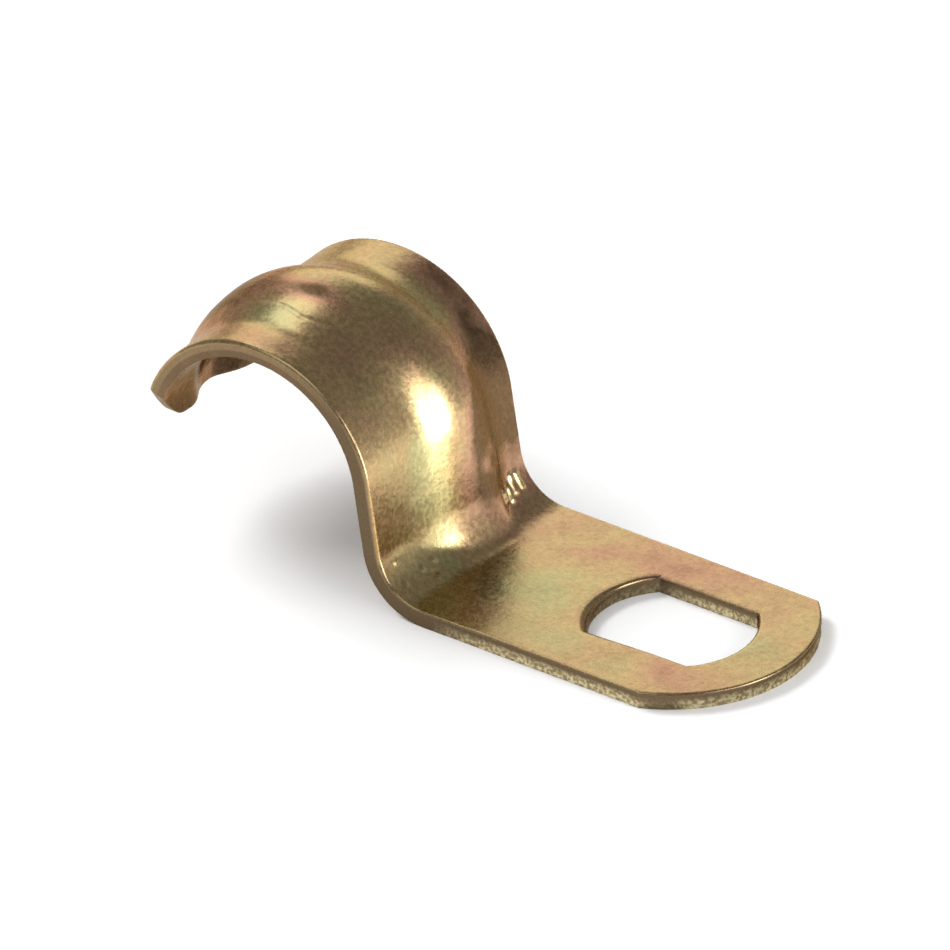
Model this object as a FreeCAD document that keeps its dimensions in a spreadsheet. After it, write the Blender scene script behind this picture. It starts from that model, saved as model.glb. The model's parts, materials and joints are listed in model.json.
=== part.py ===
"""One-hole cable clamp, pressed from a single strip of sheet steel.

The strap is one piece: a half-round saddle with a rounded rib along it, a leaning wall, a bend where
the rib dies out in a blunt foot, and a flat lug with a fixing slot. Sizes are in millimetres and degrees.
The frame has its origin at the slot's centre on the wall face, +X along the lug to its end, +Y along the
cable and +Z away from the wall.
"""
import FreeCAD, Part
import math
import os

import Sketcher

NODE = "clamp_strap"

# Driving dimensions: alias, value, meaning
DIMENSIONS = [
    ("strap_width", 20.5, "width of the strip, along the cable"),
    ("sheet_thickness", 1.5, "thickness of the sheet"),
    ("saddle_diameter", 20.0, "inside of the saddle, the cable's size"),
    ("saddle_height", 9.4, "saddle axis above the wall face, less than its radius so that it grips"),
    ("wall_lean", 9.5, "lean of the wall between saddle and bend, degrees from upright"),
    ("free_end_angle", 180.0, "where the saddle stops, degrees from the lug's direction"),
    ("free_end_round", 3.6, "radius of the rounded corners of the free end"),
    ("bend_radius", 4.5, "radius on the upper side of the bend between wall and lug"),
    ("rib_height", 1.5, "rise of the rib above the flanges beside it"),
    ("rib_offset", 1.7, "rib's highest line off the strip's middle, along the cable"),
    ("near_crown_radius", 12.0, "outer radius of the crown, on the near side of the highest line"),
    ("near_blend_radius", 5.5, "outer radius where the rib meets the near flange"),
    ("near_flank_angle", 20.0, "slope of the rib's near side, degrees"),
    ("far_crown_radius", 5.6, "outer radius of the crown, on the far side of the highest line"),
    ("far_blend_radius", 3.2, "outer radius where the rib meets the far flange"),
    ("far_flank_angle", 24.5, "slope of the rib's far side, degrees"),
    ("foot_start", 30.0, "turn of the bend up to which the rib keeps its height, degrees from upright"),
    ("foot_end", 58.0, "turn of the bend where the rib's foot ends, degrees from upright"),
    ("slot_to_saddle", 34.4, "fixing slot's centre to the saddle axis"),
    ("slot_length", 14.0, "diameter of the slot's round ends"),
    ("slot_width", 10.0, "distance between the slot's flats"),
    ("slot_offset", 0.6, "slot's centre off the strip's middle, along the cable"),
    ("end_reach", 11.7, "slot's centre to the lug's end"),
    ("end_offset", 1.2, "centre of the lug's round end off the strip's middle, along the cable"),
    ("end_margin", 1.05, "what the lug's end radius has over the wider half of the strip"),
]

# Lengths and places that follow from the driving dimensions, as formulas of the sheet
INNER = "Sizes.saddle_diameter / 2"
OUTER = "(Sizes.saddle_diameter / 2 + Sizes.sheet_thickness)"
BEND_CENTRE_HEIGHT = "(Sizes.sheet_thickness + Sizes.bend_radius - Sizes.saddle_height)"
WALL_LENGTH = (
    f"(({OUTER} + Sizes.bend_radius) * sin(Sizes.wall_lean * 1 deg) - {BEND_CENTRE_HEIGHT})"
    " / cos(Sizes.wall_lean * 1 deg)"
)
BEND_CENTRE_X = (
    f"(({OUTER} + Sizes.bend_radius) * cos(Sizes.wall_lean * 1 deg)"
    f" + {WALL_LENGTH} * sin(Sizes.wall_lean * 1 deg))"
)
END_RADIUS = "(Sizes.strap_width / 2 + Sizes.end_offset + Sizes.end_margin)"
END_CENTRE_X = f"(Sizes.slot_to_saddle + Sizes.end_reach - {END_RADIUS})"
LUG_TURN = 90

START, END, CENTRE = 1, 2, 3
ORIGIN_POINT = (-1, 1)
X_AXIS = -1


def make_sheet(doc):
    """The spreadsheet of driving dimensions, one row each."""
    sheet = doc.addObject("Spreadsheet::Sheet", "Sizes")
    for row, (alias, value, meaning) in enumerate(DIMENSIONS, start=1):
        sheet.set(f"A{row}", alias)
        sheet.set(f"B{row}", str(value))
        sheet.set(f"C{row}", meaning)
        sheet.setAlias(f"B{row}", alias)
    doc.recompute()
    return sheet


def origin_feature(body, role):
    """One of the body's own origin planes or axes, found by its role."""
    return next(feature for feature in body.Origin.OriginFeatures if feature.Role == role)


def new_sketch(body, name, role):
    """An empty sketch lying on one of the body's origin planes."""
    sketch = body.newObject("Sketcher::SketchObject", name)
    sketch.AttachmentSupport = [(origin_feature(body, role), "")]
    sketch.MapMode = "FlatFace"
    return sketch


def measure(sketch, name, formula, *constraint):
    """Adds a named dimension to a sketch and binds it to a formula of the sheet."""
    index = sketch.addConstraint(Sketcher.Constraint(*constraint))
    sketch.renameConstraint(index, name)
    sketch.setExpression(f"Constraints.{name}", formula)


def point(u, v):
    """A place in a sketch."""
    return FreeCAD.Vector(u, v, 0)


def line(sketch, start, end):
    """A straight stretch between two places."""
    return sketch.addGeometry(Part.LineSegment(point(*start), point(*end)), False)


def arc(sketch, centre, radius, first, last):
    """An arc from one angle to another, in degrees, counterclockwise."""
    circle = Part.Circle(point(*centre), FreeCAD.Vector(0, 0, 1), radius)
    return sketch.addGeometry(Part.ArcOfCircle(circle, math.radians(first), math.radians(last)), False)


def rising(*places):
    """Places of a sketch in order of their height in it."""
    return sorted(places, key=lambda place: place[1])


class RibHalf:
    """One half of the rib's section, from its highest line out to the strip's cut edge.

    Its stretches are crown, flank, blend and flange. A lower contour lies further in by an inset.
    """

    def __init__(self, sheet, side, sign):
        self.side = side
        self.sign = sign
        self.offset = sheet.rib_offset
        self.height = sheet.rib_height
        self.edge = sign * sheet.strap_width / 2
        self.crown = getattr(sheet, f"{side}_crown_radius")
        self.blend = getattr(sheet, f"{side}_blend_radius")
        self.angle = getattr(sheet, f"{side}_flank_angle")
        slope = math.radians(self.angle)
        both = self.crown + self.blend
        flank_rise = self.height - both * (1 - math.cos(slope))
        if flank_rise <= 0:
            raise ValueError(f"the rib is too low for the radii and the angle of its {side} side")
        self.width = both * math.sin(slope) + flank_rise / math.tan(slope)

    def stops(self, inset):
        """Where a contour passes from crown to flank, blend and flange, and where it ends."""
        slope = math.radians(self.angle)
        shoulder = (self.crown - inset) * math.sin(slope)
        foot = self.width - (self.blend + inset) * math.sin(slope)
        return [self.offset + self.sign * reach for reach in (shoulder, foot, self.width)] + [self.edge]

    def ends(self):
        """Which end of a rising stretch is the inward and which the outward one."""
        return (START, END) if self.sign > 0 else (END, START)

    def draw(self, sketch, name, level, inset):
        """Draws one contour of this half with its dimensions, and gives its stretches from the crown out."""
        slope = math.radians(self.angle)
        crown_radius, blend_radius = self.crown - inset, self.blend + inset
        shoulder, foot, flange_start, edge = self.stops(inset)
        crown_x = level + self.height - self.crown
        blend_x = level + self.blend
        shoulder_x = crown_x + crown_radius * math.cos(slope)
        foot_x = blend_x - blend_radius * math.cos(slope)
        crown_turns = sorted((0, self.sign * self.angle))
        blend_turns = sorted((180, 180 + self.sign * self.angle))
        crown = arc(sketch, (crown_x, self.offset), crown_radius, *crown_turns)
        flank = line(sketch, *rising((shoulder_x, shoulder), (foot_x, foot)))
        blend = arc(sketch, (blend_x, flange_start), blend_radius, *blend_turns)
        flange = line(sketch, *rising((level - inset, flange_start), (level - inset, edge)))
        inward, outward = self.ends()
        sketch.addConstraint([
            Sketcher.Constraint("Tangent", crown, outward, flank, inward),
            Sketcher.Constraint("Tangent", flank, outward, blend, outward),
            Sketcher.Constraint("Tangent", blend, inward, flange, inward),
            Sketcher.Constraint("Vertical", flange),
        ])
        label = f"{name}_{self.side}"
        sheets = 0 if name == "upper" else 1
        measure(sketch, f"{label}_crown_radius",
                f"Sizes.{self.side}_crown_radius - {sheets} * Sizes.sheet_thickness",
                "Radius", crown, crown_radius)
        measure(sketch, f"{label}_blend_radius",
                f"Sizes.{self.side}_blend_radius + {sheets} * Sizes.sheet_thickness",
                "Radius", blend, blend_radius)
        measure(sketch, f"{label}_offset", "Sizes.rib_offset",
                "DistanceY", *ORIGIN_POINT, crown, CENTRE, self.offset)
        measure(sketch, f"{label}_level", OUTER if name == "upper" else INNER,
                "DistanceX", *ORIGIN_POINT, flange, outward, level - inset)
        measure(sketch, f"{label}_slope", f"(90 + {self.sign} * Sizes.{self.side}_flank_angle) * 1 deg",
                "Angle", flank, math.pi / 2 + self.sign * slope)
        return [crown, flank, blend, flange]


class RibSection:
    """The strap's cross-section: radial direction along the sketch's x, width along its y.

    The upper contour runs over flange, blend, flank and crown and down again on the other side. The lower
    contour is the same line one sheet thickness further in, so the strip keeps its thickness.
    """

    def __init__(self, sheet):
        self.thickness = sheet.sheet_thickness
        self.level = sheet.saddle_diameter / 2 + self.thickness
        self.near = RibHalf(sheet, "near", -1)
        self.far = RibHalf(sheet, "far", 1)

    def contours(self):
        """Names and insets of the section's two contours."""
        return (("upper", 0.0), ("lower", self.thickness))

    def ribbed(self, sketch):
        """Draws and dimensions the ribbed section in a sketch."""
        self.close(sketch, [self.ribbed_contour(sketch, *contour) for contour in self.contours()])

    def ribbed_contour(self, sketch, name, inset):
        """One contour of the ribbed section, whose two halves meet at the highest line, and its flanges."""
        near = self.near.draw(sketch, name, self.level, inset)
        far = self.far.draw(sketch, name, self.level, inset)
        sketch.addConstraint(Sketcher.Constraint("Tangent", near[0], END, far[0], START))
        measure(sketch, f"{name}_crown_centre", f"{OUTER} + Sizes.rib_height - Sizes.near_crown_radius",
                "DistanceX", *ORIGIN_POINT, near[0], CENTRE, self.level + self.near.height - self.near.crown)
        return near[-1], far[-1]

    def faded(self, sketch):
        """Draws and dimensions the section where the rib is gone, in as many stretches as the ribbed one."""
        self.close(sketch, [self.flat_contour(sketch, *contour, True) for contour in self.contours()])

    def plain(self, sketch):
        """Draws and dimensions the section where the rib is gone, as a plain rectangle."""
        self.close(sketch, [self.flat_contour(sketch, *contour, False) for contour in self.contours()])

    def flat_contour(self, sketch, name, inset, cut):
        """One contour of a flat section, in one stretch or cut where the ribbed one is, and its ends."""
        level = self.level - inset
        near, far = self.near.stops(inset), self.far.stops(inset)
        stops = [*near[::-1], self.near.offset, *far] if cut else [near[-1], far[-1]]
        stretches = [line(sketch, (level, a), (level, b)) for a, b in zip(stops, stops[1:])]
        for before, after in zip(stretches, stretches[1:]):
            sketch.addConstraint(Sketcher.Constraint("Coincident", before, END, after, START))
        for stretch in stretches:
            sketch.addConstraint(Sketcher.Constraint("Vertical", stretch))
        measure(sketch, f"{name}_level", OUTER if name == "upper" else INNER,
                "DistanceX", *ORIGIN_POINT, stretches[0], START, level)
        return stretches[0], stretches[-1]

    def close(self, sketch, contours):
        """Joins the two contours at the strap's cut edges, half the width from the middle."""
        upper, lower = contours
        for half, top, bottom in ((self.near, upper[0], lower[0]), (self.far, upper[-1], lower[-1])):
            outward = half.ends()[1]
            cut = line(sketch, (self.level, half.edge), (self.level - self.thickness, half.edge))
            sketch.addConstraint([
                Sketcher.Constraint("Coincident", cut, START, top, outward),
                Sketcher.Constraint("Coincident", cut, END, bottom, outward),
                Sketcher.Constraint("Horizontal", cut),
            ])
            measure(sketch, f"{half.side}_edge", f"{half.sign} * Sizes.strap_width / 2",
                    "DistanceY", *ORIGIN_POINT, cut, START, half.edge)


def turn_sketch(sketch, turn, shift_x="0", shift_z="0"):
    """Tips a sketch of the XY plane up about the saddle axis by an angle, and moves it, by formulas."""
    tip = FreeCAD.Rotation(FreeCAD.Vector(0, 1, 0), -1)
    sketch.AttachmentOffset = FreeCAD.Placement(FreeCAD.Vector(), tip)
    sketch.setExpression("AttachmentOffset.Rotation.Angle", f"-({turn}) * 1 deg")
    sketch.setExpression("AttachmentOffset.Base.x", shift_x)
    sketch.setExpression("AttachmentOffset.Base.z", shift_z)


def bend_sketch(body, name, turn):
    """An empty sketch across the bend, at a turn from the lug's direction about the bend's centre."""
    sketch = new_sketch(body, name, "XY_Plane")
    reach = f"({OUTER} + Sizes.bend_radius)"
    turn_sketch(
        sketch, turn,
        f"{BEND_CENTRE_X} - {reach} * cos({turn} * 1 deg)",
        f"{BEND_CENTRE_HEIGHT} - {reach} * sin({turn} * 1 deg)",
    )
    return sketch


def bend_path(doc, body, name, first, last):
    """The upper face's arc in the bend, from one turn to another."""
    path = new_sketch(body, name, "XZ_Plane")
    doc.recompute()
    centre = (path.evalExpression(BEND_CENTRE_X), path.evalExpression(BEND_CENTRE_HEIGHT))
    radius = doc.Sizes.bend_radius
    curve = arc(path, centre, radius, 180 + first, 180 + last)
    measure(path, "bend_radius", "Sizes.bend_radius", "Radius", curve, radius)
    measure(path, "centre_x", BEND_CENTRE_X, "DistanceX", *ORIGIN_POINT, curve, CENTRE, centre[0])
    measure(path, "centre_height", BEND_CENTRE_HEIGHT, "DistanceY", *ORIGIN_POINT, curve, CENTRE, centre[1])
    doc.recompute()
    return path


def make_saddle(doc, body, section):
    """The saddle: the ribbed section turned about the saddle axis, from the wall up to the free end."""
    sketch = new_sketch(body, "saddle_section", "XY_Plane")
    turn_sketch(sketch, "Sizes.wall_lean")
    section.ribbed(sketch)
    doc.recompute()
    saddle = body.newObject("PartDesign::Revolution", "saddle")
    saddle.Profile = sketch
    saddle.ReferenceAxis = (origin_feature(body, "Y_Axis"), [""])
    saddle.Reversed = True
    saddle.setExpression("Angle", "(Sizes.free_end_angle - Sizes.wall_lean) * 1 deg")
    doc.recompute()
    wall = body.newObject("PartDesign::Pad", "wall")
    wall.Profile = sketch
    wall.Reversed = True
    wall.setExpression("Length", WALL_LENGTH)
    doc.recompute()


def make_bend(doc, body, section):
    """The bend: the ribbed section carried round into a flat one, so that the rib runs on straight and ends
    in a blunt foot, and the rest of the bend down to the lug."""
    sheet = doc.Sizes
    first = bend_sketch(body, "bend_start", "Sizes.wall_lean")
    section.ribbed(first)
    middle = bend_sketch(body, "bend_foot", "Sizes.foot_start")
    section.ribbed(middle)
    last = bend_sketch(body, "bend_faded", "Sizes.foot_end")
    section.faded(last)
    foot = body.newObject("PartDesign::AdditivePipe", "rib_foot")
    foot.Profile = first
    foot.Spine = (bend_path(doc, body, "foot_path", sheet.wall_lean, sheet.foot_end), [""])
    foot.Sections = [(middle, [""]), (last, [""])]
    foot.Transformation = "Multisection"
    foot.Mode = "Standard"
    doc.recompute()
    plain = bend_sketch(body, "bend_plain", "Sizes.foot_end")
    section.plain(plain)
    root = body.newObject("PartDesign::AdditivePipe", "lug_root")
    root.Profile = plain
    root.Spine = (bend_path(doc, body, "root_path", sheet.foot_end, LUG_TURN), [""])
    doc.recompute()


def make_lug(doc, body):
    """The lug: a flat tongue with a round end, and in it the slot with its two flats."""
    sketch = new_sketch(body, "lug_outline", "XY_Plane")
    sketch.setExpression("AttachmentOffset.Base.z", "-Sizes.saddle_height")
    doc.recompute()
    sheet = doc.Sizes
    start = sketch.evalExpression(BEND_CENTRE_X)
    centre = (sketch.evalExpression(END_CENTRE_X), sheet.end_offset)
    side = sheet.strap_width / 2
    end_radius = sketch.evalExpression(END_RADIUS)
    near_turn = -math.asin((side + centre[1]) / end_radius)
    far_turn = math.asin((side - centre[1]) / end_radius)
    near_corner = (centre[0] + end_radius * math.cos(near_turn), -side)
    far_corner = (centre[0] + end_radius * math.cos(far_turn), side)
    near = line(sketch, (start, -side), near_corner)
    end = arc(sketch, centre, end_radius, math.degrees(near_turn), math.degrees(far_turn))
    far = line(sketch, far_corner, (start, side))
    root = line(sketch, (start, side), (start, -side))
    sketch.addConstraint([
        Sketcher.Constraint("Coincident", near, END, end, START),
        Sketcher.Constraint("Coincident", end, END, far, START),
        Sketcher.Constraint("Coincident", far, END, root, START),
        Sketcher.Constraint("Coincident", root, END, near, START),
        Sketcher.Constraint("Horizontal", near),
        Sketcher.Constraint("Horizontal", far),
        Sketcher.Constraint("Vertical", root),
    ])
    measure(sketch, "root_x", BEND_CENTRE_X, "DistanceX", *ORIGIN_POINT, root, END, start)
    measure(sketch, "near_edge", "-Sizes.strap_width / 2", "DistanceY", *ORIGIN_POINT, near, START, -side)
    measure(sketch, "far_edge", "Sizes.strap_width / 2", "DistanceY", *ORIGIN_POINT, far, END, side)
    measure(sketch, "end_radius", END_RADIUS, "Radius", end, end_radius)
    measure(sketch, "end_centre_x", END_CENTRE_X, "DistanceX", *ORIGIN_POINT, end, CENTRE, centre[0])
    measure(sketch, "end_centre_y", "Sizes.end_offset", "DistanceY", *ORIGIN_POINT, end, CENTRE, centre[1])
    draw_slot(sketch, sheet)
    doc.recompute()
    lug = body.newObject("PartDesign::Pad", "lug")
    lug.Profile = sketch
    lug.setExpression("Length", "Sizes.sheet_thickness")
    doc.recompute()
    return lug


def draw_slot(sketch, sheet):
    """The slot in the lug's sketch: a circle with a flat on each side."""
    centre = (sheet.slot_to_saddle, sheet.slot_offset)
    radius = sheet.slot_length / 2
    half = sheet.slot_width / 2
    corner_turn = math.degrees(math.asin(half / radius))
    reach = radius * math.cos(math.radians(corner_turn))
    left, right = centre[0] - reach, centre[0] + reach
    low, high = centre[1] - half, centre[1] + half
    right_end = arc(sketch, centre, radius, -corner_turn, corner_turn)
    far_flat = line(sketch, (right, high), (left, high))
    left_end = arc(sketch, centre, radius, 180 - corner_turn, 180 + corner_turn)
    near_flat = line(sketch, (left, low), (right, low))
    sketch.addConstraint([
        Sketcher.Constraint("Coincident", right_end, END, far_flat, START),
        Sketcher.Constraint("Coincident", far_flat, END, left_end, START),
        Sketcher.Constraint("Coincident", left_end, END, near_flat, START),
        Sketcher.Constraint("Coincident", near_flat, END, right_end, START),
        Sketcher.Constraint("Coincident", right_end, CENTRE, left_end, CENTRE),
        Sketcher.Constraint("Horizontal", far_flat),
        Sketcher.Constraint("Horizontal", near_flat),
    ])
    measure(sketch, "slot_x", "Sizes.slot_to_saddle",
            "DistanceX", *ORIGIN_POINT, right_end, CENTRE, centre[0])
    measure(sketch, "slot_y", "Sizes.slot_offset",
            "DistanceY", *ORIGIN_POINT, right_end, CENTRE, centre[1])
    measure(sketch, "slot_end", "Sizes.slot_length / 2", "Radius", right_end, radius)
    measure(sketch, "far_flat", "Sizes.slot_width / 2",
            "DistanceY", right_end, CENTRE, far_flat, START, half)
    measure(sketch, "near_flat", "Sizes.slot_width / 2",
            "DistanceY", near_flat, START, right_end, CENTRE, half)


def free_end_corners(shape, sheet):
    """Names of the two short edges where the saddle's free end meets the strip's cut edges."""
    turn = math.radians(sheet.free_end_angle)
    middle = (sheet.saddle_diameter + sheet.sheet_thickness) / 2
    names = []
    for side in (-sheet.strap_width / 2, sheet.strap_width / 2):
        corner = FreeCAD.Vector(middle * math.cos(turn), side, middle * math.sin(turn))
        gaps = [edge.CenterOfMass.distanceToPoint(corner) for edge in shape.Edges]
        names.append(f"Edge{gaps.index(min(gaps)) + 1}")
    return names


def round_free_end(doc, body, base):
    """Rounds the two corners of the free end."""
    corners = body.newObject("PartDesign::Fillet", "free_end_round")
    corners.Base = (base, free_end_corners(base.Shape, doc.Sizes))
    corners.setExpression("Radius", "Sizes.free_end_round")
    doc.recompute()


def place(body):
    """Moves the strap so that the slot's centre on the wall face is the frame's origin."""
    body.setExpression("Placement.Base.x", "-Sizes.slot_to_saddle")
    body.setExpression("Placement.Base.y", "-Sizes.slot_offset")
    body.setExpression("Placement.Base.z", "Sizes.saddle_height")


def check(doc, body):
    """Stops the build if any object failed or the strap isn't one valid solid."""
    for item in doc.Objects:
        if {"Invalid", "Error"} & set(item.State):
            raise RuntimeError(f"{item.Name} failed: {item.State}")
    shape = body.Shape
    if shape.isNull() or not shape.isValid() or len(shape.Solids) != 1:
        raise RuntimeError("the strap isn't one valid solid")


def main():
    doc = FreeCAD.newDocument("cable_clamp")
    sheet = make_sheet(doc)
    body = doc.addObject("PartDesign::Body", NODE)
    body.Label = NODE
    section = RibSection(sheet)
    make_saddle(doc, body, section)
    make_bend(doc, body, section)
    lug = make_lug(doc, body)
    round_free_end(doc, body, lug)
    place(body)
    doc.recompute()
    check(doc, body)
    os.makedirs("parts", exist_ok=True)
    body.Shape.exportStep(f"parts/{body.Label}.step")
    print(f"{body.Label}: {body.Shape.Volume:.1f} mm3, centre {body.Shape.CenterOfGravity}")


main()
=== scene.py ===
"""Looks of a pressed cable clamp: the strap as one skin of sheet steel, its zinc finish, a plain studio."""

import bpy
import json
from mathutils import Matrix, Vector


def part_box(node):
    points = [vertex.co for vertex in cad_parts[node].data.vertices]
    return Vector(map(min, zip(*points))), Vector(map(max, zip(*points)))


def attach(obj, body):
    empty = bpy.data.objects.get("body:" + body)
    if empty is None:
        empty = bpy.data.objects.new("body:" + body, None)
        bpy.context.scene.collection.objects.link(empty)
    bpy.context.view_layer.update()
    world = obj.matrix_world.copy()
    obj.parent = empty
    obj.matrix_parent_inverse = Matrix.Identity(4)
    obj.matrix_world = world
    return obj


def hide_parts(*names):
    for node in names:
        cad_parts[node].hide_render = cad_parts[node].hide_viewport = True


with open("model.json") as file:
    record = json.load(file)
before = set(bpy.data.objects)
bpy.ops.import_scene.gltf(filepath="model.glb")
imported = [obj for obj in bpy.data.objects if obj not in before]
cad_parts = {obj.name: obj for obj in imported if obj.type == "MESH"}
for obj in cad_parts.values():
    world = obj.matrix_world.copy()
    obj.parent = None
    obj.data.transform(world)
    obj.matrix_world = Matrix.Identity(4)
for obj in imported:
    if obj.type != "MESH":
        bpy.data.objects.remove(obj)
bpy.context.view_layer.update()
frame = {"record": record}

import json
import math

import bpy
import numpy as np
from bpy.props import FloatProperty, FloatVectorProperty, PointerProperty
from mathutils import Matrix, Vector

bl_info = {
    "name": "Pressed Cable Clamp",
    "version": (1, 0, 0),
    "blender": (4, 5, 0),
    "location": "3D View > Sidebar > Clamp",
    "description": "Builds the skin, the finish and the studio of a one-hole cable clamp",
    "category": "Object",
}

MM = 0.001
NODE = "clamp_strap"
BODY = "root"
MOUNTS = {mount["name"]: mount for mount in frame["record"]["mounts"]}
SADDLE_AXIS = Vector(MOUNTS["saddle"]["pos_m"])
SADDLE_RADIUS = MOUNTS["saddle"]["dims"]["r_mm"] * MM
LOW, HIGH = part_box(NODE)
SHEET = 1.5 * MM

# How many stretches the skin's grids have
ACROSS, CORNER, SADDLE_ROWS, WALL_ROWS, BEND_ROWS = 156, 24, 116, 24, 52
LUG_SIDE, LUG_END, LUG_RINGS = 64, 76, 24
ROLL_ROWS, BURNISH_ROWS, FRACTURE_ROWS = 4, 3, 5

# Points closer than this are one; a step that counts as none; what keeps a division from nought
WELD = 0.0005 * MM
STEP = 0.01 * MM
TINY = 1e-9

# How the rib changes on its run, counted from 0 at the free end to 1 at the wall's foot
FAR_EDGE_POWER = 1.4
WALL_SHAPE_FROM, WALL_SHAPE_OVER = 0.56, 0.22
END_NARROWING, END_NARROWING_OVER = 0.22, 0.35

# How the rows behind the free end's cut corners straighten out: reach in lengths of a corner, and power
STRAIGHTEN_REACH, STRAIGHTEN_POWER = 3.0, 1.5

# Points on a side of the noise's lattice, after which it repeats
LATTICE = 256

# Waves of the pressed face: cell, cell and share of the finer ones, seed
WAVE_CELL, FINE_WAVE_CELL, FINE_WAVE, WAVE_SEED = 3.1 * MM, 1.2 * MM, 0.4, 3

# Grains of a torn edge: cell, cell and share of the finer ones, seeds of the outline and the slot
TEAR_CELL, FINE_TEAR_CELL, FINE_TEAR = 0.34 * MM, 0.15 * MM, 0.6
OUTLINE_SEED, SLOT_SEED = 11, 21

# Where the outline tore, along the lug, and the corner of the lug that hardly did: place, reach, share
TEAR_START, TEAR_RUN = 1.0 * MM, 5.0 * MM
SPARED_CORNER, SPARED_REACH, SPARED_SHARE = (23.3 * MM, -9.3 * MM), 1.9 * MM, 0.9

# How far the slot's far flat tore, at its start and gained along it, and its left end
FLAT_TEAR, FLAT_TEAR_GAIN, LEFT_END_TEAR = 0.1, 1.6, 0.35

# Where the film covers part of the cut edge on the arch
ARCH_START, ARCH_RUN, ARCH_COVER = -18.0 * MM, 8.0 * MM, 0.2

# Place of the burr's middle, in burrs from either face
BURR_MIDDLE = 0.3

# Wrinkles, scratches and creases of the forming: start and end (along, across), half-width, rise, in mm
STROKES = (
    ((-5.10, 8.66), (-3.80, 8.70), 0.22, 0.190),
    ((-5.25, 7.84), (-3.75, 7.64), 0.22, 0.270),
    ((-4.45, 6.98), (-3.35, 6.80), 0.22, 0.300),
    ((-4.40, 5.80), (-3.55, 5.84), 0.21, 0.280),
    ((-3.25, -4.50), (-3.15, -4.45), 0.24, 0.125),
    ((-2.40, -5.15), (-2.30, -5.10), 0.26, -0.120),
    ((-1.80, -5.75), (-1.70, -5.72), 0.21, 0.105),
    ((-3.12, -6.10), (-3.05, -6.15), 0.24, 0.120),
    ((-2.95, -8.65), (-2.88, -8.70), 0.22, 0.110),
    ((-4.90, -8.30), (-4.82, -8.34), 0.21, 0.105),
    ((-32.3, -3.93), (-30.2, -4.20), 0.17, -0.030),
    ((-30.2, -4.20), (-27.9, -4.74), 0.18, -0.050),
    ((-27.9, -4.74), (-26.1, -4.39), 0.17, -0.032),
    ((-8.59, 6.67), (-6.41, 6.43), 0.16, -0.040),
)

# Where the film runs to brown and pink, below 0, or green: place and reach, along and across, in mm; tint.
# Most are the film's own hues; the patches marked below are painted shade and painted light.
FILM_AND_SHADE_PATCHES = (
    (6.0, -2.6, 3.6, 4.0, 0.7),
    (13.0, 7.5, 10.0, 3.6, -1.1),
    (22.3, -6.2, 5.0, 3.2, -1.3),
    (11.0, -7.5, 5.0, 2.4, 0.6),
    (18.0, -7.6, 2.6, 2.2, 0.5),
    (26.5, 3.0, 2.6, 5.0, 0.3),
    (-10.0, -3.0, 5.0, 2.6, 1.5),
    (-8.0, 0.6, 2.6, 1.2, -0.5),
    # Painted shade: brown that darkens the wall's far flank, which mirrors the pale floor
    (-13.5, 4.6, 5.0, 2.1, -2.4),
    (-28.5, 1.2, 5.0, 1.6, 0.5),
    (-29.8, -5.2, 3.5, 1.9, 1.0),
    (-28.5, -8.8, 4.0, 1.5, -0.8),
    # Painted shade: the next two darken the saddle's left rim, which mirrors the floor at a flat angle, and
    # a band between the roof's two highlights
    (-37.0, -2.0, 4.4, 4.5, -2.3),
    (-29.0, -1.6, 2.6, 1.2, -2.6),
    # Painted light: green that lifts the lug by the bend, where it mirrors the dark wall
    (2.5, -5.0, 3.0, 5.0, 0.5),
    (-22.0, -3.0, 6.0, 5.0, -0.4),
    (-24.5, 8.6, 2.5, 1.8, -1.0),
    (-22.0, 5.8, 3.5, 1.8, 1.1),
    # Painted shade: the next three darken the far flange and flank low on the saddle and on the wall, which
    # mirror the pale floor
    (-17.5, 8.6, 5.0, 2.2, -1.5),
    (-10.5, 8.4, 7.5, 3.4, -2.6),
    (-7.2, 3.6, 4.8, 2.1, -2.8),
)

# Tint of the film: its limits; a brown on the strap's underside, which is painted shade; and a lighter tint
# where marks of this rise stand up, partly rubbed and partly a painted glint
TINT_LOW, TINT_HIGH = -2.6, 1.0
UNDERSIDE_SHADE_TINT = -2.1
RUBBED_GLINT_TINT, RUBBED_GLINT_RISE = 0.2, 0.08 * MM

# The finish's noises: the part of their range that counts, and what the film and the grain make of it
PATCH_RANGE, GRAIN_RANGE, FLECK_RANGE = (0.3, 0.7), (0.25, 0.75), (0.44, 0.57)
DRIFT, MOTTLE = (-0.55, 0.65), (0.78, 1.16)
FILM_RANGE = (-2.0, 1.0)
GRAIN_STRENGTH = 0.4

# Greys of the surroundings, from below the horizon, at 0, to overhead, at 1
SKY = ((0.0, 0.46), (0.28, 0.37), (0.65, 0.19), (1.0, 0.17))
SKY_START = -0.1

# Soft lamps: name, azimuth and elevation in degrees, distance, width and height in metres, brightness, and
# whether the metal mirrors it
LAMPS = (
    ("side_softbox", 96, 4.2, 0.090, 0.024, 0.030, 10.0, True),
    ("side_top_softbox", 96, 17, 0.090, 0.026, 0.020, 2.8, True),
    ("rim_softbox", 78, 28, 0.50, 0.16, 0.16, 4.5, True),
    ("back_softbox", -116, 53, 0.45, 0.18, 0.18, 1.6, True),
    ("back_panel", -143, 24, 0.60, 0.34, 0.30, 1.02, True),
    ("front_softbox", -10, 50, 0.70, 0.60, 0.50, 1.0, True),
    ("floor_softbox", -87, 42, 0.70, 0.45, 0.30, 11.5, False),
)
FLOOR_REACH = 3.0
SENSOR_WIDTH = 36.0


def length(name, value, description):
    """A property that holds a length in metres."""
    return FloatProperty(name=name, description=description, default=value, unit="LENGTH", precision=5)


def turn(name, degrees, description):
    """A property that holds an angle."""
    return FloatProperty(name=name, description=description, default=math.radians(degrees), subtype="ANGLE")


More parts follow.
